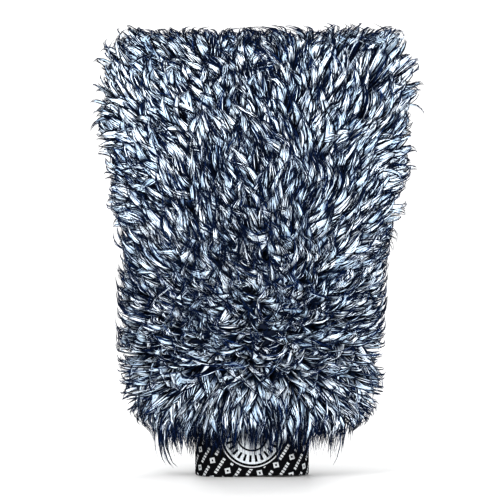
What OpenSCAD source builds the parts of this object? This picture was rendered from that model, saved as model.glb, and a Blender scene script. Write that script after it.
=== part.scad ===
// Long-pile wash mitt, standing on the rim of its elastic cuff.
// Each face is a pile on a knitted ground cloth with a lining behind it. One inner
// seam joins the two faces round the sides and the finger end. The wrist end is
// gathered into a neck, and the cuff sewn to that neck folds to the front and back.
// Millimetres. +Z is towards the finger end and -Y is the front.

/* [Mitt] */
// Height from the cuff's rim to the pile at the finger end
mitt_h = 287; // [260:1:320]
// Width of the pile at the finger end
finger_w = 200; // [180:1:220]
// Width of the pile at the waist
waist_w = 164; // [150:1:180]
// Depth from the front of the pile to the back of it
mitt_d = 78; // [70:1:90]
// Height at which the outside of the pile begins
wrist_z = 30; // [27:1:36]

/* [Fabric] */
// Depth of the pile
pile_t = 18; // [14:1:20]
// Thickness of the knitted ground cloth
backing_t = 1.2; // [0.8:0.1:1.6]
// Thickness of the lining
lining_t = 0.8; // [0.6:0.1:1.2]
// Gap between two layers of fabric
layer_gap = 0.4; // [0.3:0.1:0.6]
// Radius of the overlocked inner seam
seam_r = 1.5; // [1:0.1:2]

/* [Cuff] */
// Width of the elastic cuff
cuff_w = 74; // [66:1:80]
// Depth of the elastic cuff
cuff_d = 34; // [30:1:36]
// Height of the elastic cuff
cuff_h = 36; // [30:1:38]
// Thickness of the elastic
cuff_t = 1.6; // [1.2:0.1:2.4]
// Width of the care label
label_w = 22; // [14:1:30]
// Length of the care label
label_h = 26; // [16:1:30]

/* [Wrist fold] */
// Height of the fold's axis above the top of the cuff
fold_rise = 4; // [3:0.5:6]

/* [Hidden] */
$fn = 96;

// Room left round the folding cuff
fold_gap = 0.5;
// How far the threads stand out of the elastic, and how deep they sit in it
thread_out = 0.6;
thread_in = 0.4;
// Height of the seam that joins the cuff to the neck
cuff_seam_h = 4;
// Width of the seam that closes the elastic into a loop
side_seam_w = 5;
// Thickness of the care label, and its gap to the elastic
label_t = 0.4;
label_gap = 0.3;
// Thickness of the gathered neck, and how far it lies inside the cuff's outline
neck_t = 2.2;
neck_inset = 0.4;

// Shape of the panels: where they flare, the round of the corners and of the
// shoulders, the crown that thins the finger end, and the fullness of a section
flare_from = 115;
flare_to = 235;
corner_l = 44;
corner_cut = 0.2;
shoulder_l = 36;
crown_l = 74;
fullness = 2.6;
neck_half_w = cuff_w/2 + pile_t + backing_t + lining_t + 2*layer_gap + 0.8;
neck_half_d = cuff_d/2 + pile_t + 1;
// How much higher a deeper face begins, and how far the middle of its wrist end is
// lifted to let the cuff fold under it
wrist_slope = 0.6;
wrist_lift = 5.6;
lift_slope = 0.25;
rows = 20;
columns = 22;
seam_sides = 8;

// Depth below the pile's surface of each layer's outer and inner faces
backing_in = pile_t + layer_gap;
lining_in = backing_in + backing_t + layer_gap;
pocket_in = lining_in + lining_t;

fold_z = cuff_h + fold_rise;
fold_reach = cuff_d/2 + thread_out;
fold_r = sqrt(fold_reach*fold_reach + fold_rise*fold_rise) + fold_gap;

function held(v) = min(1, max(0, v));
function eased(v) = held(v)*held(v)*(3 - 2*held(v));
function power(v, n) = sign(v)*pow(abs(v), n);

// A face that lies `inset` below the pile's surface begins and ends at these heights.
// `turn` goes from -90 at one side, through 0 at the middle, to 90 at the other.
function low_z(inset) = wrist_z + wrist_slope*inset;
function top_z(inset) = mitt_h - inset;
function row_z(i, inset, turn) =
    let (low = low_z(inset) + (wrist_lift + lift_slope*inset)*power(cos(turn), 0.5))
    low + (top_z(inset) - low)*(1 - cos(180*i/rows))/2;

// How far height z is into the corner, the crown and the shoulder of such a face
function corner_at(z, inset) = held(1 - (top_z(inset) - z)/corner_l);
function crown_at(z, inset) = held(1 - (top_z(inset) - z)/crown_l);
function shoulder_at(z, inset) = held(1 - (z - low_z(inset))/shoulder_l);
function shoulder_in(z, inset) = 1 - sqrt(1 - pow(shoulder_at(z, inset), 2));

function flat_half_w(z) =
    waist_w/2 + (finger_w - waist_w)/2*eased((z - flare_from)/(flare_to - flare_from));
function half_w(z, inset) =
    let (side = (flat_half_w(z) - inset)*(1 - corner_cut*pow(corner_at(z, inset), 3)))
    side - (side - neck_half_w + inset)*shoulder_in(z, inset);
function half_d(z, inset) =
    let (face = (mitt_d/2 - inset)*sqrt(1 - pow(crown_at(z, inset), 2)))
    face - (face - neck_half_d + inset)*shoulder_in(z, inset);

// Row i and column j of the front face that lies `inset` below the pile's surface
function face_point(i, j, inset) =
    let (turn = 180*j/columns - 90, z = row_z(i, inset, turn))
    [half_w(z, inset)*power(sin(turn), 2/fullness),
     -layer_gap/2 - half_d(z, inset)*power(cos(turn), 2/fullness),
     z];

// The two triangles of a quad whose corners run clockwise, seen from outside
function quad(a, b, c, d) = [[a, b, c], [a, c, d]];

// A front panel as one closed sheet, between its outer and inner faces
module front_panel(outer, inner) {
    wide = columns + 1;
    face_n = (rows + 1)*wide;
    function at(side, i, j) = side*face_n + i*wide + j;
    points = [for (inset = [outer, inner], i = [0:rows], j = [0:columns])
        face_point(i, j, inset)];
    skins = [for (i = [0:rows - 1], j = [0:columns - 1], t = concat(
        quad(at(0, i, j), at(0, i + 1, j), at(0, i + 1, j + 1), at(0, i, j + 1)),
        quad(at(1, i, j), at(1, i, j + 1), at(1, i + 1, j + 1), at(1, i + 1, j)))) t];
    ends = [for (j = [0:columns - 1], t = concat(
        quad(at(0, 0, j), at(0, 0, j + 1), at(1, 0, j + 1), at(1, 0, j)),
        quad(at(0, rows, j), at(1, rows, j), at(1, rows, j + 1), at(0, rows, j + 1)))) t];
    sides = [for (i = [0:rows - 1], t = concat(
        quad(at(0, i, 0), at(1, i, 0), at(1, i + 1, 0), at(0, i + 1, 0)),
        quad(at(0, i, columns), at(0, i + 1, columns),
             at(1, i + 1, columns), at(1, i, columns)))) t];
    polyhedron(points, concat(ends, sides, skins), convexity = 6);
}

// An oval of width w and depth d with round ends
module oval(w, d) {
    square([w - d, d], center = true);
    for (side = [-1, 1]) translate([side*(w - d)/2, 0]) circle(d = d);
}

// A wall of thickness t that follows the cuff's outline, `out` outside it
module oval_wall(out, t, h) {
    linear_extrude(h) difference() {
        oval(cuff_w + 2*out, cuff_d + 2*out);
        oval(cuff_w + 2*out - 2*t, cuff_d + 2*out - 2*t);
    }
}

module front_pile() {
    color("lightsteelblue") front_panel(0, pile_t);
}

module back_pile() {
    color("lightsteelblue") mirror([0, 1, 0]) front_panel(0, pile_t);
}

module front_backing() {
    color("slategray") front_panel(backing_in, backing_in + backing_t);
}

module back_backing() {
    color("slategray") mirror([0, 1, 0])
        front_panel(backing_in, backing_in + backing_t);
}

module front_lining() {
    color("dimgray") front_panel(lining_in, pocket_in);
}

module back_lining() {
    color("dimgray") mirror([0, 1, 0]) front_panel(lining_in, pocket_in);
}

// The overlocked edges of both faces, a ridge round the inside of the pocket
module perimeter_seam() {
    inset = pocket_in + seam_r + 2*layer_gap;
    first_row = 3;
    side = [for (i = [first_row:rows])
        let (z = row_z(i, inset, 90)) [half_w(z, inset), z]];
    path = concat(side, [for (i = [len(side) - 1:-1:0]) [-side[i].x, side[i].y]]);
    last = len(path) - 1;
    function heading(k) =
        let (run = path[min(last, k + 1)] - path[max(0, k - 1)]) run/norm(run);
    rings = [for (k = [0:last], s = [0:seam_sides - 1])
        let (h = heading(k), turn = 360*s/seam_sides)
        [path[k].x + seam_r*cos(turn)*h.y, seam_r*sin(turn),
         path[k].y - seam_r*cos(turn)*h.x]];
    function at(k, s) = k*seam_sides + s % seam_sides;
    walls = [for (k = [0:last - 1], s = [0:seam_sides - 1], t = quad(
        at(k, s), at(k + 1, s), at(k + 1, s + 1), at(k, s + 1))) t];
    caps = [[for (s = [0:seam_sides - 1]) at(0, s)],
            [for (s = [seam_sides - 1:-1:0]) at(last, s)]];
    color("midnightblue") polyhedron(rings, concat(walls, caps), convexity = 6);
}

// The gathered wrist end of the faces, which bends when the cuff folds
module neck_gather() {
    color("slategray") intersection() {
        translate([0, 0, cuff_h + layer_gap])
            oval_wall(-neck_inset, neck_t, 2*fold_r);
        translate([0, 0, fold_z]) rotate([0, 90, 0])
            cylinder(r = fold_r - fold_gap, h = cuff_w, center = true);
    }
}

module cuff() {
    color("black") oval_wall(0, cuff_t, cuff_h);
}

// The thread that joins the cuff to the neck, round the top of the cuff
module cuff_seam() {
    color("midnightblue") translate([0, 0, cuff_h - cuff_seam_h])
        oval_wall(thread_out, thread_out + thread_in, cuff_seam_h);
}

// The thread that closes the elastic into a loop, up the back of the cuff
module cuff_side_seam() {
    margin = 2;
    color("midnightblue")
        translate([-side_seam_w/2, cuff_d/2 - thread_in, margin])
            cube([side_seam_w, thread_out + thread_in,
                  cuff_h - cuff_seam_h - 2*margin]);
}

// The blank label, hanging inside the back of the cuff
module care_label() {
    back = cuff_d/2 - cuff_t - label_gap;
    color("white") translate([-label_w/2, back - label_t, cuff_h - 2 - label_h])
        cube([label_w, label_t, label_h]);
}

front_pile();
back_pile();
front_backing();
back_backing();
front_lining();
back_lining();
perimeter_seam();
neck_gather();
cuff();
cuff_seam();
cuff_side_seam();
care_label();
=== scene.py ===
"""Looks of the long-pile wash mitt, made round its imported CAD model.

The two faces are covered in loose strands: leaf-shaped clumps of pale split fibre with
navy strands over them. Each clump is rooted on the ground cloth and ends about at the
surface that the CAD pile has. Metres, +Z towards the finger end, -Y the front.
"""
import math
from types import SimpleNamespace

import bpy
import numpy as np
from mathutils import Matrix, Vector


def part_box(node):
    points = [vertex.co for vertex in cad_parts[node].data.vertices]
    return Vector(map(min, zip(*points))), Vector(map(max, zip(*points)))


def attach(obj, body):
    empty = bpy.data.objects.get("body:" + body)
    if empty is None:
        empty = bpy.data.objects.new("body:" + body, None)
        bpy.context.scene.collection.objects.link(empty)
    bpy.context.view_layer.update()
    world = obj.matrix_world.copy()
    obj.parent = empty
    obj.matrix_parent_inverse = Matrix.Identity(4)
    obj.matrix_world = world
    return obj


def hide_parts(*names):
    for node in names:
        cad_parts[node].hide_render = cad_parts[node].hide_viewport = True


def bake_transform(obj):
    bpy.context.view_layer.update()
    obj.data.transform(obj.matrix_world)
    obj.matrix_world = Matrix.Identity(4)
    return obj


MM = 0.001
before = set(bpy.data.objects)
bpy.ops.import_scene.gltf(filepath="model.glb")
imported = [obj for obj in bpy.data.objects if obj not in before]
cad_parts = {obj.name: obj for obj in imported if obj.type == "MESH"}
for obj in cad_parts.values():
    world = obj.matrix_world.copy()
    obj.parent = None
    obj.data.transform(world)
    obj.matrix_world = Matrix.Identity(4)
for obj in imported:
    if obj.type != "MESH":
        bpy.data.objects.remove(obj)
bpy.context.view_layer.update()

# ---------------------------------------------------------------- dimensions, from the frame
pile_lo, pile_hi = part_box("front_pile")
backing_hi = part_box("front_backing")[1]
lining_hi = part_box("front_lining")[1]
cuff_lo, cuff_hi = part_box("cuff")
seam_lo, seam_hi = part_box("cuff_seam")
side_seam_lo, side_seam_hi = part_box("cuff_side_seam")
label_lo, label_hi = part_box("care_label")
neck_lo, neck_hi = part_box("neck_gather")

MITT_H = pile_hi.z
FINGER_W = 2 * pile_hi.x
WRIST_Z = pile_lo.z
LAYER_GAP = 0.4 * MM
HALF_DEPTH = -pile_lo.y - LAYER_GAP / 2
BACKING_IN = MITT_H - backing_hi.z
BACKING_T = 1.2 * MM
LINING_IN = MITT_H - lining_hi.z
LINING_T = 0.8 * MM
PILE_T = BACKING_IN - LAYER_GAP
CUFF_W = cuff_hi.x - cuff_lo.x
CUFF_D = cuff_hi.y - cuff_lo.y
CUFF_H = cuff_hi.z
CUFF_T = 1.6 * MM

# The shape of the panels, as the CAD model has it
WAIST_W = 164 * MM
FLARE_FROM = 115 * MM
FLARE_TO = 235 * MM
CORNER_L = 44 * MM
CORNER_CUT = 0.2
SHOULDER_L = 36 * MM
CROWN_L = 74 * MM
FULLNESS = 2.6
NECK_HALF_W = CUFF_W / 2 + PILE_T + BACKING_T + LINING_T + 2 * LAYER_GAP + 0.8 * MM
NECK_HALF_D = CUFF_D / 2 + PILE_T + 1 * MM
WRIST_SLOPE = 0.6
WRIST_LIFT = 5.6 * MM
LIFT_SLOPE = 0.25


def held(v):
    return np.clip(v, 0, 1)


def between(v, none_at, all_at):
    """0 at none_at, 1 at all_at, straight between them and level beyond."""
    return held((v - none_at) / (all_at - none_at))


def eased(v):
    v = held(v)
    return v * v * (3 - 2 * v)


def power(v, n):
    return np.sign(v) * np.abs(v) ** n


def low_z(inset):
    """The height of a face's wrist edge, `inset` below the pile's surface."""
    return WRIST_Z + WRIST_SLOPE * inset


def shoulder_in(z, inset):
    into = held(1 - (z - low_z(inset)) / SHOULDER_L)
    return 1 - np.sqrt(1 - into**2)


def half_w(z, inset):
    """Half the width of the mitt at height z, `inset` below the pile's surface."""
    flat = WAIST_W / 2 + (FINGER_W - WAIST_W) / 2 * eased(
        (z - FLARE_FROM) / (FLARE_TO - FLARE_FROM)
    )
    corner = held(1 - (MITT_H - inset - z) / CORNER_L)
    side = (flat - inset) * (1 - CORNER_CUT * corner**3)
    return side - (side - NECK_HALF_W + inset) * shoulder_in(z, inset)


def half_d(z, inset):
    """Half its depth, in the same way."""
    crown = held(1 - (MITT_H - inset - z) / CROWN_L)
    face = (HALF_DEPTH - inset) * np.sqrt(1 - crown**2)
    return face - (face - NECK_HALF_D + inset) * shoulder_in(z, inset)


def face_points(turn, rise, inset, side):
    """Points of the face on side -1 (front) or 1 (back), `inset` below the pile's surface.
    turn is -90 to 90 degrees across it, and rise 0 to 1 from the wrist to the finger end."""
    across = np.radians(turn)
    facing = np.maximum(np.cos(across), 0)
    low = low_z(inset) + (WRIST_LIFT + LIFT_SLOPE * inset) * facing**0.5
    z = low + (MITT_H - inset - low) * rise
    x = half_w(z, inset) * power(np.sin(across), 2 / FULLNESS)
    y = LAYER_GAP / 2 + half_d(z, inset) * facing ** (2 / FULLNESS)
    return np.stack([x, side * y, z], -1)


def normalised(v):
    return v / np.maximum(np.linalg.norm(v, axis=-1, keepdims=True), 1e-12)


def drift(a, b, seed, size):
    """A smooth field from about -1 to 1 over a and b, with waves of about `size`."""
    rng = np.random.default_rng(seed)
    total = 0
    waves = 7
    for _ in range(waves):
        turn = rng.uniform(0, 2 * math.pi)
        wave = rng.uniform(0.6, 1.5) / size
        phase = rng.uniform(0, 2 * math.pi)
        run = a * math.cos(turn) + b * math.sin(turn)
        total = total + np.sin(2 * math.pi * wave * run + phase)
    return total / math.sqrt(waves)


# ---------------------------------------------------------------- mesh building
def new_object(name, verts, quads, tris=None, uv=None, uv_name="UVMap"):
    """A smooth mesh object from arrays: quads (n, 4), tris (m, 3), uv one pair a vertex."""
    quads = np.asarray(quads, np.int32).reshape(-1, 4)
    tris = np.asarray([] if tris is None else tris, np.int32).reshape(-1, 3)
    loops = np.concatenate([quads.ravel(), tris.ravel()])
    sizes = np.concatenate([np.full(len(quads), 4), np.full(len(tris), 3)])
    starts = np.concatenate([[0], np.cumsum(sizes)[:-1]])
    mesh = bpy.data.meshes.new(name)
    mesh.vertices.add(len(verts))
    mesh.vertices.foreach_set("co", np.asarray(verts, np.float32).ravel())
    mesh.loops.add(len(loops))
    mesh.loops.foreach_set("vertex_index", loops.astype(np.int32))
    mesh.polygons.add(len(sizes))
    mesh.polygons.foreach_set("loop_start", starts.astype(np.int32))
    mesh.update(calc_edges=True)
    if uv is not None:
        layer = mesh.uv_layers.new(name=uv_name)
        layer.data.foreach_set("uv", np.asarray(uv, np.float32)[loops].ravel())
    mesh.shade_smooth()
    piece = bpy.data.objects.new(name, mesh)
    bpy.context.scene.collection.objects.link(piece)
    return piece


def thin_shell(name, outer, inner, uv, around=False, inner_uv=None):
    """A closed sheet between two grids of points (rows, columns, 3). Seen from outside,
    columns run to the right and rows upward. With around, the columns close into a ring.
    The inside has the outside's map unless it is given its own."""
    rows, columns = outer.shape[:2]
    at = np.arange(rows * columns).reshape(rows, columns)
    if around:
        at = np.concatenate([at, at[:, :1]], 1)
    inside = at + rows * columns

    def skin(g):
        return np.stack([g[:-1, :-1], g[:-1, 1:], g[1:, 1:], g[1:, :-1]], -1).reshape(-1, 4)

    def rim(near, far):
        return np.stack([near[:-1], near[1:], far[1:], far[:-1]], -1)

    quads = [skin(at), skin(inside)[:, ::-1], rim(inside[0], at[0]), rim(at[-1], inside[-1])]
    if not around:
        quads += [rim(at[:, 0], inside[:, 0]), rim(inside[:, -1], at[:, -1])]
    verts = np.concatenate([outer.reshape(-1, 3), inner.reshape(-1, 3)])
    inner_uv = uv if inner_uv is None else inner_uv
    both = np.concatenate([uv.reshape(-1, 2), inner_uv.reshape(-1, 2)])
    return new_object(name, verts, np.concatenate(quads), uv=both)


def thread(name, path, radius, sides=6, closed=False):
    """A round thread along a list of points, with capped ends unless it is a loop."""
    path = np.asarray(path, float)
    count = len(path)
    if closed:
        run = np.roll(path, -1, 0) - np.roll(path, 1, 0)
    else:
        run = np.gradient(path, axis=0)
    run = normalised(run)
    # carry one side direction along the path, so that the tube doesn't twist
    side = np.zeros_like(path)
    start = np.array([0.3, 0.9, 0.2])
    for i in range(count):
        start = start - run[i] * (start @ run[i])
        start = start / np.linalg.norm(start)
        side[i] = start
    other = np.cross(run, side)
    turn = np.arange(sides) * 2 * math.pi / sides
    turn = turn[None, :, None]
    ring = np.cos(turn) * side[:, None] + np.sin(turn) * other[:, None]
    verts = (path[:, None] + radius * ring).reshape(-1, 3)
    at = np.arange(count * sides).reshape(count, sides)
    at = np.concatenate([at, at[:, :1]], 1)
    if closed:
        at = np.concatenate([at, at[:1]], 0)
    quads = np.stack([at[:-1, :-1], at[:-1, 1:], at[1:, 1:], at[1:, :-1]], -1).reshape(-1, 4)
    tris = []
    if not closed:
        for end, order in ((0, -1), (-1, 1)):
            loop = at[end, :-1][::order]
            tris += [[loop[0], loop[k], loop[k + 1]] for k in range(1, sides - 1)]
    return new_object(name, verts, quads, tris)


# ---------------------------------------------------------------- materials
class Nodes:
    """A material's node tree, with short ways to add and link nodes."""

    def __init__(self, name, roughness, **sockets):
        self.material = bpy.data.materials.new(name)
        self.material.use_nodes = True
        self.tree = self.material.node_tree
        self.shader = self.tree.nodes["Principled BSDF"]
        self.shader.inputs["Roughness"].default_value = roughness
        for socket, value in sockets.items():
            self.shader.inputs[socket.replace("_", " ")].default_value = value

    def add(self, kind, **settings):
        node = self.tree.nodes.new("ShaderNode" + kind)
        for key, value in settings.items():
            setattr(node, key, value)
        return node

    def link(self, source, target):
        self.tree.links.new(source, target)

    def math(self, operation, a, b=None, c=None):
        """A Math node on sockets or numbers."""
        node = self.add("Math", operation=operation)
        for socket, value in zip(node.inputs, (a, b, c)):
            if value is None:
                continue
            if isinstance(value, (int, float)):
                socket.default_value = value
            else:
                self.link(value, socket)
        return node.outputs[0]

    def ramp(self, source, stops):
        node = self.add("ValToRGB")
        elements = node.color_ramp.elements
        while len(elements) < len(stops):
            elements.new(1.0)
        for element, (place, colour) in zip(elements, stops):
            element.position = place
            element.color = (*colour, 1)
        self.link(source, node.inputs[0])
        return node.outputs[0]

    def mix(self, share, a, b, blend="MIX"):
        """A colour mix; each value is a socket, a colour or a number."""
        node = self.add("Mix", data_type="RGBA", blend_type=blend)
        for socket, value in ((node.inputs[0], share), (node.inputs[6], a), (node.inputs[7], b)):
            if isinstance(value, (int, float)):
                socket.default_value = value
            elif isinstance(value, tuple):
                socket.default_value = (*value, 1)
            else:
                self.link(value, socket)
        return node.outputs[2]

    def uv(self, layer="UVMap"):
        split = self.add("SeparateXYZ")
        self.link(self.add("UVMap", uv_map=layer).outputs[0], split.inputs[0])
        return split.outputs[0], split.outputs[1]

    def noise(self, scale, detail=2.0, vector=None):
        node = self.add("TexNoise")
        node.inputs["Scale"].default_value = scale
        node.inputs["Detail"].default_value = detail
        if vector is None:
            vector = self.add("TexCoord").outputs["Object"]
        self.link(vector, node.inputs["Vector"])
        return node.outputs[0]

    def bump(self, height, distance, strength=0.6):
        node = self.add("Bump")
        node.inputs["Strength"].default_value = strength
        node.inputs["Distance"].default_value = distance
        self.link(height, node.inputs["Height"])
        self.link(node.outputs[0], self.shader.inputs["Normal"])

    def colour(self, source):
        self.link(source, self.shader.inputs["Base Color"])
        return self.material


WHITE = (1.0, 1.0, 1.0)
NAVY_TIP = (0.003, 0.012, 0.045)
NAVY_TIPPED_TONES = (0.50, 0.86)
# painted shade: each strand darkens towards its root, where the pile shades itself
ROOT_SHADE = [(0.0, (0.004, 0.008, 0.02)), (0.30, (0.02, 0.045, 0.10)), (0.56, WHITE)]
STREAKS = [(0.3, (0.72, 0.76, 0.82)), (0.6, WHITE)]
NAVY_TO_WHITE = [
    (0.00, (0.0012, 0.003, 0.010)),
    (0.12, (0.0015, 0.005, 0.016)),
    (0.24, (0.003, 0.012, 0.045)),
    (0.34, (0.007, 0.032, 0.115)),
    (0.46, (0.14, 0.23, 0.36)),
    (0.58, (0.42, 0.53, 0.64)),
    (0.72, (0.57, 0.68, 0.78)),
    (0.86, (0.64, 0.73, 0.81)),
    (1.00, (0.72, 0.77, 0.82)),
]


def pile_material():
    """Split-fibre strands. The strands' own map gives each strand's tone across it and the
    way from root to tip up it, and every colour is worked out from those two. Each strand
    is darkened towards its root: painted shade, where the pile shades itself."""
    n = Nodes("split_fibre_pile", 0.8, Specular_IOR_Level=0.05)
    tone, along = n.uv("OFBake")
    streak_at = n.add("CombineXYZ")
    n.link(n.math("MULTIPLY", tone, 90.0), streak_at.inputs[0])
    n.link(n.math("MULTIPLY", along, 2.2), streak_at.inputs[1])
    streak = n.noise(1.0, 2.0, streak_at.outputs[0])
    body = n.ramp(tone, NAVY_TO_WHITE)
    body = n.mix(1.0, body, n.ramp(streak, STREAKS), "MULTIPLY")
    # painted shade, darker towards each strand's root
    body = n.mix(1.0, body, n.ramp(along, ROOT_SHADE), "MULTIPLY")
    from_tone, to_tone = NAVY_TIPPED_TONES
    tipped = n.math("MULTIPLY", n.math("LESS_THAN", tone, to_tone),
                    n.math("GREATER_THAN", tone, from_tone))
    near_tip = n.math("SMOOTH_MAX", n.math("MULTIPLY_ADD", along, 6.0, -4.7), 0.0, 0.05)
    share = n.math("MULTIPLY", tipped, n.math("MINIMUM", near_tip, 1.0))
    return n.colour(n.mix(share, body, NAVY_TIP))


def weave(n, u, v, pitch):
    """The height of a plain weave of that pitch on a map in metres, from 0 to 1."""
    turns = math.pi / pitch
    across = n.math("ABSOLUTE", n.math("SINE", n.math("MULTIPLY", u, turns)))
    up = n.math("ABSOLUTE", n.math("SINE", n.math("MULTIPLY", v, turns)))
    return n.math("MAXIMUM", across, up)


def cloth_material(name, dark, light, pitch, roughness):
    """A plain cloth: two close tones in a weave, the darker in the weave's hollows as painted
    shade, with soft patches over it.
    """
    n = Nodes(name, roughness, Specular_IOR_Level=0.2)
    u, v = n.uv()
    height = weave(n, u, v, pitch)
    n.bump(height, 0.25 * pitch)
    # painted shade: the darker tone goes in the hollows of the weave, the lighter on its threads
    cloth = n.mix(height, dark, light)
    patches = n.ramp(n.noise(60.0, 3.0), [(0.35, (0.82, 0.84, 0.88)), (0.65, WHITE)])
    return n.colour(n.mix(1.0, cloth, patches, "MULTIPLY"))


def thread_material():
    """Textured polyester thread: near-black navy, with the lay of its plies, darker in their
    hollows as painted shade.
    """
    n = Nodes("sewing_thread", 0.6, Specular_IOR_Level=0.25)
    plies = n.noise(2600.0, 1.0)
    n.bump(plies, 0.05 * MM)
    # painted shade: the tone follows the plies' bump, darker where it is low
    return n.colour(n.ramp(plies, [(0.35, (0.008, 0.011, 0.026)), (0.65, (0.028, 0.036, 0.075))]))


# The print on the elastic
ROUNDEL_Z = 26.6 * MM
RING_R = 20.2 * MM
RING_T = 0.85 * MM
CLEAR_R = RING_R + 1.2 * MM
DISC_R = 18.4 * MM
TICKS = 26
TICK_SHARE = 0.42
TICK_R = 14.8 * MM
TICK_L = 4.4 * MM
HUB_R = 9.6 * MM
HUB_T = 1.1 * MM
SLANT = math.radians(57)
ROW_PITCH = 6.0 * MM
REPEAT = 20 * MM
DASHES_TO = 0.58
DASH_PITCH = 2.0 * MM
DASH_SHARE = 0.70
DASH_HALF_W = 0.17
DIAMOND_AT = 0.79
DIAMOND_R = 2.5 * MM
DIAMOND_HOLE_R = 0.34 * DIAMOND_R
INSIDE_V = -1.0
INSIDE_BELOW = -0.2 * MM
RIB_PITCH = 0.9 * MM
PICK_PITCH = 0.55 * MM
# each pair is one colour in the hollows of the ribs and on their tops: the darker is painted shade
BLACK_YARN = ((0.0015, 0.0015, 0.002), (0.005, 0.005, 0.006))
WHITE_PRINT = ((0.22, 0.23, 0.24), (0.40, 0.41, 0.42))
PALE_DISC = ((0.27, 0.29, 0.31), (0.45, 0.47, 0.49))


class Masks(Nodes):
    """A material whose colours are cut by masks of 0 or 1."""

    def within(self, value, limit):
        return self.math("LESS_THAN", value, limit)

    def near(self, value, middle, half):
        return self.within(self.math("ABSOLUTE", self.math("SUBTRACT", value, middle)), half)

    def both(self, *masks):
        made = masks[0]
        for mask in masks[1:]:
            made = self.math("MULTIPLY", made, mask)
        return made

    def either(self, a, b):
        return self.math("MAXIMUM", a, b)

    def off(self, mask):
        return self.math("SUBTRACT", 1.0, mask)

    def squared(self, value):
        return self.math("MULTIPLY", value, value)


def roundel(n, u, v, front_u):
    """Masks of the ring, the disc, the black marks on the disc, and of what is outside."""
    x = n.math("SUBTRACT", u, front_u)
    z = n.math("SUBTRACT", v, ROUNDEL_Z)
    radius = n.math("SQRT", n.math("ADD", n.squared(x), n.squared(z)))
    angle = n.math("ARCTAN2", z, x)
    ring = n.near(radius, RING_R, RING_T / 2)
    disc = n.within(radius, DISC_R)
    tick_at = n.math("FRACT", n.math("MULTIPLY", angle, TICKS / (2 * math.pi)))
    ticks = n.both(n.within(tick_at, TICK_SHARE), n.near(radius, TICK_R, TICK_L / 2))
    hub = n.near(radius, HUB_R, HUB_T / 2)
    return ring, disc, n.both(disc, n.either(ticks, hub)), n.off(n.within(radius, CLEAR_R))


def slanting_rows(n, u, v):
    """A mask of slanting rows, each of them dashes and then a diamond, over and over."""
    cos, sin = math.cos(SLANT), math.sin(SLANT)
    along = n.math("MULTIPLY_ADD", u, cos, n.math("MULTIPLY", v, sin))
    over = n.math("MULTIPLY_ADD", u, -sin, n.math("MULTIPLY", v, cos))
    row = n.math("DIVIDE", over, ROW_PITCH)
    shift = n.math("MULTIPLY", n.math("FLOOR", row), 0.5)
    place = n.math("FRACT", n.math("MULTIPLY_ADD", along, 1 / REPEAT, shift))
    from_row = n.math("ABSOLUTE", n.math("SUBTRACT", n.math("FRACT", row), 0.5))
    dash_at = n.math("FRACT", n.math("MULTIPLY", place, REPEAT / DASH_PITCH))
    dashes = n.both(n.within(from_row, DASH_HALF_W), n.within(place, DASHES_TO),
                    n.within(dash_at, DASH_SHARE))
    from_diamond = n.math("ABSOLUTE", n.math("SUBTRACT", place, DIAMOND_AT))
    reach = n.math("MULTIPLY_ADD", from_row, ROW_PITCH, n.math("MULTIPLY", from_diamond, REPEAT))
    diamonds = n.both(n.within(reach, DIAMOND_R), n.off(n.within(reach, DIAMOND_HOLE_R)))
    return n.either(dashes, diamonds)


def elastic_material(front_u):
    """Ribbed black elastic with a white print: a plain roundel at the front, and slanting
    rows of dashes and diamonds all round. The map is in metres round and up the cuff, and
    INSIDE_V lower on the inside, which is plain."""
    n = Masks("printed_elastic", 0.9, Specular_IOR_Level=0.0)
    u, v = n.uv()
    ribs = n.math("ABSOLUTE", n.math("SINE", n.math("MULTIPLY", v, math.pi / RIB_PITCH)))
    picks = n.math("ABSOLUTE", n.math("SINE", n.math("MULTIPLY", u, math.pi / PICK_PITCH)))
    height = n.math("MULTIPLY_ADD", picks, 0.35, ribs)
    n.bump(height, 0.12 * MM, 0.8)
    ring, disc, marks, clear = roundel(n, u, v, front_u)
    rows = n.both(clear, slanting_rows(n, u, v))
    # painted shade: every colour is darker in the hollows of the ribs and picks, with the bump
    black = n.mix(height, *BLACK_YARN)
    look = n.mix(n.either(ring, rows), black, n.mix(height, *WHITE_PRINT))
    look = n.mix(disc, look, n.mix(height, *PALE_DISC))
    look = n.mix(marks, look, black)
    look = n.mix(n.within(v, INSIDE_BELOW), look, black)
    worn = n.ramp(n.noise(900.0, 2.0), [(0.3, (0.78, 0.78, 0.78)), (0.55, WHITE)])
    return n.colour(n.mix(1.0, look, worn, "MULTIPLY"))


FLOAT_PITCH = 0.35 * MM


def label_material():
    """Blank satin tape: off-white, with fine floats across it, darker between them as painted
    shade.
    """
    n = Nodes("satin_tape", 0.45)
    v = n.uv()[1]
    floats = n.math("ABSOLUTE", n.math("SINE", n.math("MULTIPLY", v, math.pi / FLOAT_PITCH)))
    n.bump(floats, 0.05 * MM)
    # painted shade: darker in the grooves between the floats, with the bump
    return n.colour(n.mix(floats, (0.66, 0.66, 0.63), (0.84, 0.84, 0.81)))


# ---------------------------------------------------------------- pile
# How far along a strand its rings are, and how thick each is as a share of its width
RINGS = np.array([0.0, 0.18, 0.38, 0.60, 0.82, 1.0])
GIRTH = np.array([0.70, 1.0, 1.0, 0.86, 0.55])
FLATNESS = 0.6

CLUMPS_A_FACE = 2000
HANGING_CLUMPS = 150
TANGLED_CLUMPS = 800
TANGLE_TO = 150 * MM
PLAIN, HANGING, TANGLED = 0, 1, 2

PALE_STRANDS = 11
NAVY_STRANDS = 6
STRANDS = PALE_STRANDS + NAVY_STRANDS
PALE = np.arange(STRANDS) < PALE_STRANDS
NAVY_PLACES = np.array([-1.2, 1.2, -1.0, 0.35, -0.35, 0.95])
NAVY_AT_EDGES = np.array([-1.2, 1.2, -1.05, 1.1, -1.35, 0.95])
DARK_CLUMPS = 0.14
DARK_IN_THEM = 0.6

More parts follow.
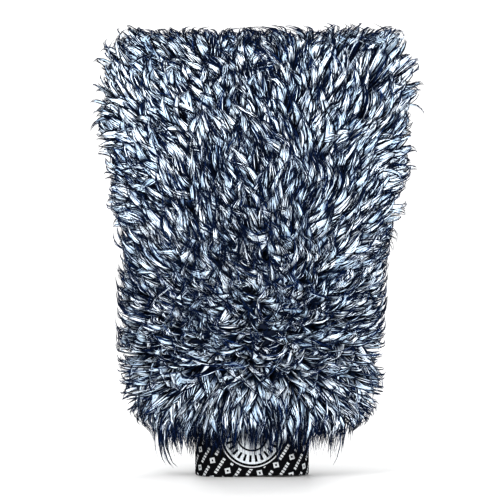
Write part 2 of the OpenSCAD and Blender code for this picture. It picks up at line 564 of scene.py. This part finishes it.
# Where the strands hang over the cuff and bend with it
HANG_HALF_W = 46 * MM
BEND_FROM = 55 * MM

# Where the pile parts to lie up or down, and where its lie turns round
PARTING_Z = 68 * MM
PARTING_L = 36 * MM
TURNING_Z = 58 * MM
TURNING_L = 26 * MM

# The surface that the tips are drawn back to
FLOOR_ROOM = 13 * MM
ROOF_DROP = 26 * MM
ROOF_HALF_D = 32 * MM
CUFF_ROOM = 1.1 * MM
CUFF_ROOM_FROM = CUFF_H + 5 * MM
CUFF_ROOM_WHOLE = CUFF_H + 1 * MM
DRAWN_BACK = 0.72
DRAWN_DOWN = 0.6


def even_roots(count, side, seed):
    """Turn and rise of `count` roots spread evenly over one face's ground cloth."""
    turns = np.linspace(-90, 90, 181)
    rises = (1 - np.cos(np.linspace(0, math.pi, 161))) / 2
    grid = face_points(turns[None, :], rises[:, None], BACKING_IN, side)
    a = grid[1:, 1:] - grid[:-1, :-1]
    b = grid[1:, :-1] - grid[:-1, 1:]
    area = np.linalg.norm(np.cross(a, b), axis=-1) / 2
    by_row = np.concatenate([[0], np.cumsum(area.sum(1))])
    # the plastic number's sequence covers a square evenly
    step = np.array([0.7548776662466927, 0.5698402909980532])
    rng = np.random.default_rng(seed)
    spots = (rng.uniform(0, 1, 2) + step * np.arange(1, count + 1)[:, None]) % 1
    rise = np.interp(spots[:, 0], by_row / by_row[-1], rises)
    row = np.clip(np.searchsorted(rises, rise) - 1, 0, len(area) - 1)
    by_column = np.concatenate([np.zeros((len(area), 1)), np.cumsum(area, 1)], 1)
    by_column /= by_column[:, -1:]
    turn = np.array([np.interp(s, by_column[r], turns) for s, r in zip(spots[:, 1], row)])
    return turn, rise


def hanging_roots(count, seed):
    """Turn and rise of more roots along the wrist end's edge, whose clumps hang over the cuff."""
    rng = np.random.default_rng(seed)
    share = np.linspace(-0.9, 0.9, count) + rng.normal(0, 0.01, count)
    turn = np.degrees(np.arcsin(power(share, FULLNESS / 2)))
    return turn, rng.uniform(0, 0.035, count)


def lie(x, z, side):
    """Which way the pile lies at x, z, seen from the front: across and up."""
    share = x / np.maximum(half_w(z, 0), 1e-6)
    up = np.tanh((z - TURNING_Z) / TURNING_L)
    lean = 0.34 * side * (1 - np.abs(share)) * held(up)
    across = 1.25 * power(share, 1.5) + lean
    upper = between(z, 60 * MM, 150 * MM)
    turn = np.radians(36 - 16 * upper) * drift(x, z, 11 + side, 60 * MM)
    turn = turn + np.radians(34 - 12 * upper) * drift(x, z, 31 + side, 20 * MM)
    return across * np.cos(turn) - up * np.sin(turn), across * np.sin(turn) + up * np.cos(turn)


def hold_in(points, slack, top_slack):
    """Draws points back towards the pile's surface where they stand more than slack out of
    its sides or more than top_slack above it, and keeps them above the floor."""
    x, y, z = points[..., 0], points[..., 1], points[..., 2]
    level = np.clip(z, low_z(0), MITT_H - 2 * MM)
    out = ((np.abs(x) / half_w(level, 0)) ** FULLNESS
           + (np.abs(y) / half_d(level, 0)) ** FULLNESS) ** (1 / FULLNESS)
    reach = np.hypot(x, y)
    over = np.maximum(reach - reach / np.maximum(out, 1e-6) - slack, 0)
    scale = 1 - DRAWN_BACK * over / np.maximum(reach, 1e-9)
    roof = MITT_H + top_slack - ROOF_DROP * (y / ROOF_HALF_D) ** 2
    z = z - DRAWN_DOWN * np.maximum(z - roof, 0)
    low = np.maximum(FLOOR_ROOM - z, 0)
    z = np.where(low > 0, FLOOR_ROOM - 0.7 * FLOOR_ROOM * np.tanh(low / FLOOR_ROOM), z)
    return np.stack([x * scale, y * scale, z], -1)


def clear_of_cuff(points, side):
    """Pushes points out of the elastic, to its front or its back."""
    x, y, z = points[..., 0], points[..., 1], points[..., 2]
    radius = CUFF_D / 2
    beyond = x - np.clip(x, radius - CUFF_W / 2, CUFF_W / 2 - radius)
    outward = side * np.maximum(side * y, 1 * MM)
    reach = np.hypot(beyond, outward)
    beside_cuff = between(z, CUFF_ROOM_FROM, CUFF_ROOM_WHOLE)
    short = np.maximum(radius + CUFF_ROOM - reach, 0) * beside_cuff
    scale = 1 + short / reach
    x = x + beyond * (scale - 1)
    y = np.where(short > 0, outward * scale, y)
    return np.stack([x, y, z], -1)


def clump_roots(side, seed, rng):
    """The roots of one face's clumps, the way out of the pile at each, and their kinds."""
    turn, rise = even_roots(CLUMPS_A_FACE, side, seed + 1)
    more_turn, more_rise = hanging_roots(HANGING_CLUMPS, seed + 2)
    tangled_turn, tangled_rise = even_roots(TANGLED_CLUMPS, side, seed + 3)
    tangled_z = face_points(tangled_turn, tangled_rise, BACKING_IN, side)[:, 2]
    thinned = 1.15 - 0.9 * eased(tangled_z / TANGLE_TO - 0.4)
    stay = rng.uniform(0, 1, TANGLED_CLUMPS) < thinned
    turn = np.concatenate([turn, more_turn, tangled_turn[stay]])
    rise = np.concatenate([rise, more_rise, tangled_rise[stay]])
    kind = np.repeat([PLAIN, HANGING, TANGLED], [CLUMPS_A_FACE, HANGING_CLUMPS, stay.sum()])
    root = face_points(turn, rise, BACKING_IN, side)
    normal = normalised(face_points(turn, rise, 0, side) - root)
    return root, normal, kind


def zones(root):
    """How much each root belongs to each part of the face, from 0 to 1."""
    x, z = root[:, 0], root[:, 2]
    out = np.abs(x)
    return SimpleNamespace(
        low=between(z, 160 * MM, 70 * MM),
        wrist=between(z, 80 * MM, 46 * MM),
        corner=between(z, MITT_H - 60 * MM, MITT_H) * between(out, 0, 70 * MM) ** 2,
        bottom=between(z, 95 * MM, 45 * MM) * between(out, 0, 60 * MM) ** 2,
        # the right edge alone: fuller above, trimmer below
        full=between(z, 110 * MM, 180 * MM) * between(x, 0, 75 * MM) ** 2,
        trim=between(z, 150 * MM, 90 * MM) * between(x, 0, 70 * MM) ** 2,
    )


def clump_flow(root, normal, kind, side, rng):
    """The way each clump lies along the face, and the way across it."""
    x, z = root[:, 0], root[:, 2]
    across, up = lie(x, z, side)
    parting = np.exp(-(((z - PARTING_Z) / PARTING_L) ** 2))
    spread = np.radians(11 + 52 * parting + 30 * (kind == TANGLED))
    tousle = rng.normal(0, 1, len(root)) * spread
    across, up = (across * np.cos(tousle) - up * np.sin(tousle),
                  across * np.sin(tousle) + up * np.cos(tousle))
    hang_out = 0.30 * x / HANG_HALF_W + 0.25 * rng.normal(0, 1, len(x))
    across = np.where(kind == HANGING, hang_out, across)
    up = np.where(kind == HANGING, -1.0, up)
    flow = np.stack([across, 0 * across, up], -1)
    flow = flow / np.maximum(np.linalg.norm(flow, axis=-1, keepdims=True), 0.75)
    flow -= normal * (flow * normal).sum(-1, keepdims=True)
    beside = normalised(np.cross(normal, flow + 0.02 * np.array([0.3, 0.1, 1.0])))
    return flow, beside


def clump_sizes(root, kind, zone, rng):
    """Each clump's height off the ground cloth, its reach along it, and its curl."""
    count = len(root)
    hangs, tangled = kind == HANGING, kind == TANGLED
    height = PILE_T * rng.uniform(0.86, 1.24, count) * (1 + 0.8 * zone.corner + 0.35 * zone.full)
    height = np.where(hangs, PILE_T * rng.uniform(0.25, 1.0, count), height)
    reach = (rng.uniform(14, 24, count) + 7 * zone.wrist) * MM
    reach = np.where(tangled, 0.8 * reach, reach)
    reach = reach * (1 - 0.35 * zone.trim) * (1 - 0.35 * zone.bottom)
    reach = np.where(hangs, rng.uniform(12, 22, count) * MM, reach)
    very_curly = rng.uniform(0, 1, count) < 0.10 + 0.28 * zone.low
    curly = 1 + 1.6 * very_curly * held(1 - 2 * zone.wrist)
    loose = 1.5 + (2.2 * zone.low + 1.5 * tangled) * held(1.3 - zone.wrist)
    bend = rng.normal(0, 1, count).clip(-1.7, 1.7) * loose * curly * MM
    phase = rng.uniform(0.2, 0.8, count)
    return height, reach, bend, phase


def strand_places(count, rng):
    """For each strand of each clump: its place across the clump, how high over it, how long
    it is and how far it waves. Navy strands lie over the pale ones and stick out further."""
    offset = np.linspace(-1, 1, PALE_STRANDS).tolist() + [0] * NAVY_STRANDS
    offset = np.array(offset) + rng.normal(0, 0.13, (count, STRANDS))
    edged = rng.uniform(0, 1, (count, 1)) < 0.5
    offset[:, ~PALE] = np.where(edged, NAVY_AT_EDGES, NAVY_PLACES)
    offset[:, ~PALE] += rng.normal(0, 0.17, (count, NAVY_STRANDS))
    deep = 0.7 - 1.1 * offset**2 + rng.normal(0, 0.25, (count, STRANDS))
    deep[:, ~PALE] = rng.uniform(0.5, 1.2, (count, NAVY_STRANDS))
    long = rng.uniform(0.74, 1.0, (count, STRANDS)) - 0.10 * offset**2
    long[:, ~PALE] = rng.uniform(0.95, 1.34, (count, NAVY_STRANDS))
    wave = rng.normal(0, 0.65, (count, STRANDS)) * MM
    return offset, deep, long, wave


def strand_tones(x, z, low, side, rng):
    """Each strand's tone, from 0 (navy) to 1 (white)."""
    count = len(x)
    bright = drift(x, z, 51 + side, 40 * MM) * 0.05 + drift(x, z, 61, 9 * MM) * 0.05
    # painted light: the tone is a little paler low down, where less light reaches the pile
    base = rng.uniform(0.62, 1.06, count) + bright + 0.04 * low
    tone = np.clip(base[:, None] + rng.normal(0, 0.07, (count, STRANDS)), 0.48, 0.995)
    navy = rng.beta(1.5, 2.2, (count, STRANDS)) * 0.36
    dark_clump = rng.uniform(0, 1, count) < DARK_CLUMPS
    darkened = dark_clump[:, None] & (rng.uniform(0, 1, (count, STRANDS)) < DARK_IN_THEM)
    return np.where(PALE[None] & ~darkened, tone, navy)


def per(v):
    """A value for each clump, or a vector, set out over its strands and their rings."""
    return v[:, None, None, None] if v.ndim == 1 else v[:, None, None, :]


def each(v):
    """A value for each strand, set out over its rings."""
    return v[:, :, None, None]


def clump_lines(side, seed):
    """For one face: each strand's centre line (strands, rings, 3), the direction across it,
    its width and its tone, and the root of the clump it belongs to."""
    rng = np.random.default_rng(seed)
    root, normal, kind = clump_roots(side, seed, rng)
    x, z = root[:, 0], root[:, 2]
    zone = zones(root)
    flow, beside = clump_flow(root, normal, kind, side, rng)
    height, reach, bend, phase = clump_sizes(root, kind, zone, rng)
    count = len(root)
    offset, deep, long, wave = strand_places(count, rng)
    half = rng.uniform(1.7, 4.0, count) * (1 + 0.3 * drift(x, z, 81 + side, 45 * MM)) * MM

    along = RINGS[None, None, :, None] * each(long)
    lifted = 1 - (1 - np.minimum(along, 1)) ** 1.9
    spread = (1 - along.clip(0, 1) ** 3) * 0.75 + 0.25
    curve = np.sin(math.pi * (along * 0.9 + per(phase))) - np.sin(math.pi * per(phase))
    line = (
        per(root)
        + per(normal) * per(height) * lifted
        + per(flow) * per(reach) * along**1.3
        + per(beside) * (each(offset) * per(half) * spread + per(bend) * curve)
        + per(beside) * each(wave) * np.sin(2 * math.pi * along + 3 * each(offset))
        + per(normal) * each(deep) * 0.8 * MM * spread
    )
    inner = 1 - 0.6 * between(np.abs(x), 0, 65 * MM) ** 2
    droop = 3 * zone.low + 13 * zone.wrist * inner
    line[..., 2] -= per(droop)[..., 0] * MM * along[..., 0] ** 2
    slack = np.where(PALE, 1.5, 4.5)[None, :, None] * MM
    corner = between(line[..., 2], MITT_H - CORNER_L, MITT_H) ** 3
    uneven = (7 * zone.full - 1.2 * zone.trim - 1.0 * zone.bottom)[:, None, None] * MM
    line = hold_in(line, slack + 15 * MM * corner + uneven, slack + (4 * corner - 9) * MM)
    line = clear_of_cuff(line, side)

    width = np.where(PALE, rng.uniform(0.34, 0.56, (count, STRANDS)),
                     rng.uniform(0.26, 0.44, (count, STRANDS))) * MM
    tone = strand_tones(x, z, zone.low, side, rng)
    return (line.reshape(-1, len(RINGS), 3), np.repeat(beside, STRANDS, 0), width.ravel(),
            tone.ravel(), np.repeat(root, STRANDS, 0))


def strand_piece(name, lines, beside, width, tone, seed):
    """One mesh of closed, tapered, three-sided strands."""
    rng = np.random.default_rng(seed)
    count = len(lines)
    run = normalised(np.gradient(lines, axis=1))
    side = beside[:, None] - run * (beside[:, None] * run).sum(-1, keepdims=True)
    side = normalised(side)
    other = np.cross(run, side)
    roll = rng.normal(0, 0.3, count)[:, None, None]
    a = side * np.cos(roll) + other * np.sin(roll)
    b = other * np.cos(roll) - side * np.sin(roll)
    rings = len(RINGS) - 1
    radius = (width[:, None] * GIRTH[None, :])[:, :, None, None]
    turn = np.radians([90, 210, 330])[:, None]
    a, b = a[:, :rings, None], b[:, :rings, None]
    ring = lines[:, :rings, None] + radius * (np.cos(turn) * a + FLATNESS * np.sin(turn) * b)
    per_strand = rings * 3 + 1
    verts = np.concatenate([ring.reshape(count, -1, 3), lines[:, -1:]], 1).reshape(-1, 3)
    first = (np.arange(count) * per_strand)[:, None, None]
    quad = [[3 * i + j, 3 * i + (j + 1) % 3, 3 * i + 3 + (j + 1) % 3, 3 * i + 3 + j]
            for i in range(rings - 1) for j in range(3)]
    last = 3 * (rings - 1)
    tri = [[last + j, last + (j + 1) % 3, per_strand - 1] for j in range(3)] + [[2, 1, 0]]
    along = np.concatenate([np.repeat(RINGS[:rings], 3), RINGS[-1:]])
    uv = np.stack(np.broadcast_arrays(tone[:, None], along[None]), -1).reshape(-1, 2)
    return new_object(name, verts, (first + np.array(quad)).reshape(-1, 4),
                      (first + np.array(tri)).reshape(-1, 3), uv, "OFBake")


BANDS = ["wrist", "palm", "fingers", "end"]


def make_pile(face, side, seed, material):
    """The strands of one face, in pieces by height and by left and right."""
    lines, beside, width, tone, root = clump_lines(side, seed)
    hanging = (np.abs(root[:, 0]) < HANG_HALF_W) & (lines[:, :, 2].min(1) < BEND_FROM)
    edges = np.quantile(root[~hanging, 2], np.linspace(0, 1, len(BANDS) + 1)[1:-1])
    band = np.searchsorted(edges, root[:, 2])
    groups = {}
    for hand, right in (("left", root[:, 0] < 0), ("right", root[:, 0] >= 0)):
        groups[f"{face}_pile_hanging_{hand}"] = hanging & right
        for i, height in enumerate(BANDS):
            groups[f"{face}_pile_{height}_{hand}"] = ~hanging & (band == i) & right
    for k, (name, chosen) in enumerate(groups.items()):
        piece = strand_piece(name, lines[chosen], beside[chosen], width[chosen],
                             tone[chosen], seed + 100 + k)
        piece.data.materials.append(material)
        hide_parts(f"{face}_pile")
        if "hanging" in name:
            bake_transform(piece)
        else:
            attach(piece, "shell")


pile = pile_material()
make_pile("front", -1, 1000, pile)
make_pile("back", 1, 2000, pile)


THREAD_R = 0.3 * MM
CUFF_STITCHES = 84
TOPSTITCHES = 74
SIDE_STITCHES = 13
CUFF_GATHERS = 38
NECK_GATHERS = 44
GATHER_D = 0.34 * MM
PLEAT_D = 0.62 * MM
PLEAT_IN = 1.15 * MM
PLEAT_T = 0.7 * MM
RIDGE_R = 1.5 * MM
THREAD_WIND = 2.6 * MM
CURL = 1.1 * MM
LABEL_IN = 0.25 * MM
LABEL_T = 0.34 * MM


def lengths_along(grid):
    """The distance from the first point of each row of a grid to each of its points."""
    steps = np.linalg.norm(np.diff(grid, axis=1), axis=-1)
    return np.concatenate([np.zeros((len(grid), 1)), np.cumsum(steps, 1)], 1)


def make_panel(name, node, side, inset, thick, material):
    """A ground cloth or a lining: one cloth in the shape of a face, a little rumpled."""
    turns = np.linspace(-90, 90, 73)[None, :]
    rises = ((1 - np.cos(np.linspace(0, math.pi, 61))) / 2)[:, None]
    grid = face_points(turns, rises, inset, side)
    slack = 0.12 * MM * (1 + drift(grid[..., 0], grid[..., 2], 71 + side, 14 * MM) / 2)
    inward = normalised(face_points(turns, rises, inset + thick, side) - grid)
    outer = grid + inward * slack[..., None]
    inner = face_points(turns, rises, inset + thick, side)
    u = lengths_along(outer)
    v = lengths_along(outer.swapaxes(0, 1)).swapaxes(0, 1)
    if side > 0:
        outer, inner, u = outer[:, ::-1], inner[:, ::-1], u[:, ::-1]
        v = v[:, ::-1]
    piece = thin_shell(name, outer, inner, np.stack([u, v], -1))
    piece.data.materials.append(material)
    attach(piece, "shell")
    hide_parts(node)
    return piece


def cuff_outline(share, out):
    """Points round the cuff's oval, `out` outside it, from the middle of the back towards
    -X, along the front and back again; share is 0 to 1 of the way round."""
    radius = CUFF_D / 2
    straight = CUFF_W / 2 - radius
    bend = math.pi * radius
    at = np.mod(share, 1) * (4 * straight + 2 * bend)
    turn = np.clip((at - straight) / bend, 0, 1) + np.clip((at - 3 * straight - bend) / bend, 0, 1)
    turn = math.pi / 2 + math.pi * turn
    run = (-np.clip(at, 0, straight) + np.clip(at - straight - bend, 0, 2 * straight)
           - np.clip(at - 3 * straight - 2 * bend, 0, straight))
    out = np.asarray(out)
    x = run + (radius + out) * np.cos(turn)
    y = (radius + out) * np.sin(turn)
    return x, y


CUFF_ROUND = 2 * (CUFF_W - CUFF_D) + math.pi * CUFF_D


def around_cuff(share, out, z):
    """Points at a share of the way round, `out` outside the cuff's oval, at height z."""
    x, y = cuff_outline(share, out)
    return np.stack(np.broadcast_arrays(x, y, z), -1)


def gathers(share, count, depth):
    """Sewn gathers: uneven ridges round the cuff."""
    uneven = 0.25 * np.sin(2 * math.pi * 5 * share + 0.7) + 0.18 * np.sin(2 * math.pi * 11 * share)
    return depth * np.cos(2 * math.pi * (count * share + uneven))


def make_cuff():
    """The elastic: a loop that puckers towards its seam, with a slightly uneven rim."""
    share = np.linspace(0, 1, 400, endpoint=False)[None, :]
    up = np.linspace(0, 1, 37)[:, None]
    rim = 0.55 * MM * (1 + np.sin(2 * math.pi * 2 * share + 0.4)) * (1 - up)
    z = CUFF_H * up + rim
    pucker = gathers(share, CUFF_GATHERS, GATHER_D) * (0.12 + 0.88 * up**2) - GATHER_D
    bow = -0.5 * MM * np.sin(math.pi * up) * (1 + np.cos(4 * math.pi * share)) / 2
    ribs = 0.05 * MM * np.cos(2 * math.pi * z / (2 * RIB_PITCH))
    # flatter at the back, where the label hangs
    from_back = np.minimum(share, 1 - share)
    flatter = 1 - 0.9 * np.exp(-((from_back / 0.1) ** 6))
    out = (pucker + bow) * flatter + ribs
    edge = 0.35 * MM * np.clip(1 - np.minimum(up, 1 - up) * 30, 0, 1)
    outer = around_cuff(share, out - edge, z)
    inner = around_cuff(share, out - CUFF_T + edge, z)
    uv = np.stack(np.broadcast_arrays(share * CUFF_ROUND, z), -1)
    inner_uv = uv + [0, INSIDE_V]
    piece = thin_shell("cuff_elastic", outer, inner, uv, around=True, inner_uv=inner_uv)
    piece.data.materials.append(elastic_material(CUFF_ROUND / 2))
    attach(piece, "wrist_band")
    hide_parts("cuff")


def make_neck():
    """The gathered wrist end of the cloths, in pleats that bend with the cuff."""
    share = np.linspace(0, 1, 480, endpoint=False)[None, :]
    up = np.linspace(0, 1, 25)[:, None]
    z = neck_lo.z + (neck_hi.z - neck_lo.z) * up
    pleat = gathers(share, NECK_GATHERS, PLEAT_D) * (1 - 0.45 * up) - PLEAT_IN
    outer = around_cuff(share, pleat, z)
    inner = around_cuff(share, pleat - PLEAT_T, z)
    uv = np.stack(np.broadcast_arrays(share * CUFF_ROUND, z), -1)
    piece = thin_shell("neck_pleats", outer, inner, uv, around=True)
    piece.data.materials.append(ground_cloth)
    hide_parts("neck_gather")
    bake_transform(piece)


def zigzag(count, steps, shift=0.0):
    """A rounded zigzag from -1 to 1, `count` stitches in `steps` points."""
    at = np.arange(steps) / steps
    wave = np.sin(2 * math.pi * (count * at + shift))
    return at, np.arcsin(0.97 * wave) / math.asin(0.97)


def make_cuff_seam(material):
    """Two crossing zigzags round the top of the elastic, and two straight lines."""
    mid, half = (seam_lo.z + seam_hi.z) / 2, (seam_hi.z - seam_lo.z) / 2 - THREAD_R
    for k, shift in enumerate((0.0, 0.5)):
        at, wave = zigzag(CUFF_STITCHES, CUFF_STITCHES * 8, shift)
        over = 0.75 * (k == 0) * np.abs(np.cos(CUFF_STITCHES * math.pi * at))
        out = THREAD_R * (0.25 + over) - 0.02 * MM
        path = around_cuff(at, out, mid + half * wave)
        finish_thread(f"cuff_stitch_{k + 1}", path, "wrist_band", "cuff_seam", material, True)
    for k, level in enumerate((-0.55, 0.55)):
        at = np.linspace(0, 1, 420, endpoint=False)
        dip = np.abs(np.sin(math.pi * TOPSTITCHES * at)) ** 0.5
        path = around_cuff(at, THREAD_R * (1.2 * dip - 0.6), mid + half * level)
        finish_thread(f"cuff_topstitch_{k + 1}", path, "wrist_band", "cuff_seam", material, True)


def make_side_seam(material):
    """The zigzag that closes the elastic into a loop, up the middle of the back."""
    half = (side_seam_hi.x - side_seam_lo.x) / 2 - THREAD_R
    for k, shift in enumerate((0.0, 0.5)):
        at, wave = zigzag(SIDE_STITCHES, SIDE_STITCHES * 12, shift)
        z = side_seam_lo.z + THREAD_R + (side_seam_hi.z - side_seam_lo.z - 2 * THREAD_R) * at
        y = np.full_like(at, CUFF_D / 2 + (0.2 + 0.8 * (k == 0)) * THREAD_R)
        path = np.stack([half * wave, y, z], -1)
        finish_thread(f"side_stitch_{k + 1}", path, "wrist_band", "cuff_side_seam", material)


def finish_thread(name, path, body, node, material, closed=False):
    """Makes a thread that rides on a body and stands for a seam's node."""
    piece = thread(name, path, THREAD_R, closed=closed)
    piece.data.materials.append(material)
    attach(piece, body)
    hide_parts(node)


def make_perimeter_seam(material):
    """The overlocked edges inside the pocket: a cord of cloth edges wound with thread."""
    inset = LINING_IN + LINING_T + RIDGE_R + 2 * LAYER_GAP
    # steps of a cosine, of which the first few are left out, clear of the neck
    first, last = 3, 20
    rise = (1 - np.cos(math.pi * np.linspace(first, last, 90) / last)) / 2
    z = low_z(inset) + (MITT_H - inset - low_z(inset)) * rise
    x = half_w(z, inset)
    right = np.stack([x, 0 * x, z], -1)
    corners = np.concatenate([right, (right * [-1, 1, 1])[::-1]])
    steps = np.linalg.norm(np.diff(corners, axis=0), axis=1)
    run = np.concatenate([[0], np.cumsum(steps)])
    at = np.arange(0, run[-1], 0.28 * MM)
    middle = np.stack([np.interp(at, run, corners[:, k]) for k in range(3)], -1)
    way = normalised(np.gradient(middle, axis=0))
    out = np.cross(way, [0, 1, 0])
    turn = (2 * math.pi * at / THREAD_WIND)[:, None]
    wound = middle + (RIDGE_R - THREAD_R) * (
        np.cos(turn) * out + np.sin(turn) * np.array([0, 1, 0]))
    core = thread("seam_edges", middle[::8], RIDGE_R - 1.6 * THREAD_R, sides=10)
    core.data.materials.append(ground_cloth)
    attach(core, "shell")
    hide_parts("perimeter_seam")
    finish_thread("seam_overlock", wound, "shell", "perimeter_seam", material)


def make_label():
    """The blank label: sewn in at its top, its free end curling a little inwards."""
    x = np.linspace(label_hi.x, label_lo.x, 23)[None, :]
    up = np.linspace(0, 1, 27)[:, None]
    z = label_lo.z + (label_hi.z - label_lo.z) * up
    curl = CURL * (1 - up) ** 2 * (1 + 0.5 * np.cos(math.pi * x / label_hi.x))
    y = label_hi.y - LABEL_IN - curl
    outer = np.stack(np.broadcast_arrays(x, y, z), -1)
    inner = outer - np.array([0, LABEL_T, 0])
    uv = np.stack(np.broadcast_arrays(-x, z), -1)
    piece = thin_shell("blank_label", outer, inner, uv)
    piece.data.materials.append(label_material())
    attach(piece, "wrist_band")
    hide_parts("care_label")


# the darker colour of each cloth is the painted shade in its weave's hollows
ground_cloth = cloth_material(
    "ground_cloth", (0.004, 0.007, 0.018), (0.018, 0.028, 0.06), 0.9 * MM, 0.85)
lining_cloth = cloth_material(
    "lining_cloth", (0.018, 0.019, 0.022), (0.05, 0.052, 0.058), 0.5 * MM, 0.7)
sewing = thread_material()
for panel_face, panel_side in (("front", -1), ("back", 1)):
    make_panel(f"{panel_face}_ground_cloth", f"{panel_face}_backing", panel_side,
               BACKING_IN, BACKING_T, ground_cloth)
    make_panel(f"{panel_face}_lining_cloth", f"{panel_face}_lining", panel_side,
               LINING_IN, LINING_T, lining_cloth)
make_perimeter_seam(sewing)
make_neck()
make_cuff()
make_cuff_seam(sewing)
make_side_seam(sewing)
make_label()


# ---------------------------------------------------------------- stage, light and camera
FLOOR_R = 6
FLOOR_SOLID_R = 0.08
FLOOR_CLEAR_R = 0.34
FLOOR_GREY = (0.55, 0.55, 0.55, 1)
WORLD_STRENGTH = 1.18
VIEW_GAMMA = 0.8

# name, place in metres, size in metres, power in watts
LIGHTS = [
    ("key", (-0.35, -0.75, 1.15), 0.45, 8),
    ("front_fill", (0.15, -1.3, 0.06), 0.5, 34),
    ("back_fill", (-0.15, 1.3, 0.06), 0.5, 30),
    ("left_fill", (-1.3, 0, 0.25), 0.5, 9),
    ("right_fill", (1.3, 0, 0.25), 0.5, 9),
    ("rim_light", (0.5, 0.8, 1.0), 0.6, 6),
]

CAMERA_ELEVATION = math.radians(2.5)
CAMERA_DISTANCE = 2.2
CAMERA_AIM = Vector((-1.3 * MM, 0, 145 * MM))
VIEW_W = 322 * MM


def floor_material():
    """A pale floor round the mitt that fades out into the white world, with no horizon."""
    n = Nodes("pale_floor", 0.9, Specular_IOR_Level=0.1)
    n.shader.inputs["Base Color"].default_value = FLOOR_GREY
    from_middle = n.add("VectorMath", operation="LENGTH")
    n.link(n.add("TexCoord").outputs["Object"], from_middle.inputs[0])
    width = FLOOR_CLEAR_R - FLOOR_SOLID_R
    fade = n.math("MULTIPLY_ADD", from_middle.outputs["Value"], -1 / width, FLOOR_CLEAR_R / width)
    solid = n.math("MAXIMUM", n.math("MINIMUM", fade, 1.0), 0.0)
    n.link(solid, n.shader.inputs["Alpha"])
    return n.material


def area_light(name, place, size, power_w):
    """A square light that faces the middle of the mitt."""
    lamp = bpy.data.lights.new(name, "AREA")
    lamp.size = size
    lamp.energy = power_w
    holder = bpy.data.objects.new(name, lamp)
    holder.location = place
    target = Vector((0, 0, MITT_H / 2))
    holder.rotation_euler = (target - Vector(place)).to_track_quat("-Z", "Y").to_euler()
    bpy.context.scene.collection.objects.link(holder)


def make_stage():
    """The floor, a white world and the lights."""
    bpy.ops.mesh.primitive_circle_add(
        vertices=64, radius=FLOOR_R, fill_type="NGON", location=(0, 0, 0))
    floor = bpy.context.object
    floor.name = "floor"
    floor.data.materials.append(floor_material())

    scene = bpy.context.scene
    scene.world = bpy.data.worlds.new("studio")
    scene.world.use_nodes = True
    background = scene.world.node_tree.nodes["Background"]
    background.inputs[0].default_value = (1, 1, 1, 1)
    background.inputs[1].default_value = WORLD_STRENGTH
    scene.view_settings.view_transform = "Standard"
    scene.view_settings.gamma = VIEW_GAMMA
    for light in LIGHTS:
        area_light(*light)


def make_camera():
    """The photograph's view: straight on, a little above the floor, through a long lens."""
    camera = bpy.data.cameras.new("camera")
    camera.sensor_width = 36
    camera.lens = camera.sensor_width * CAMERA_DISTANCE / VIEW_W
    holder = bpy.data.objects.new("camera", camera)
    back = Vector((0, -math.cos(CAMERA_ELEVATION), math.sin(CAMERA_ELEVATION)))
    holder.location = CAMERA_AIM + back * CAMERA_DISTANCE
    holder.rotation_euler = (-back).to_track_quat("-Z", "Y").to_euler()
    bpy.context.scene.collection.objects.link(holder)
    bpy.context.scene.camera = holder


make_stage()
make_camera()
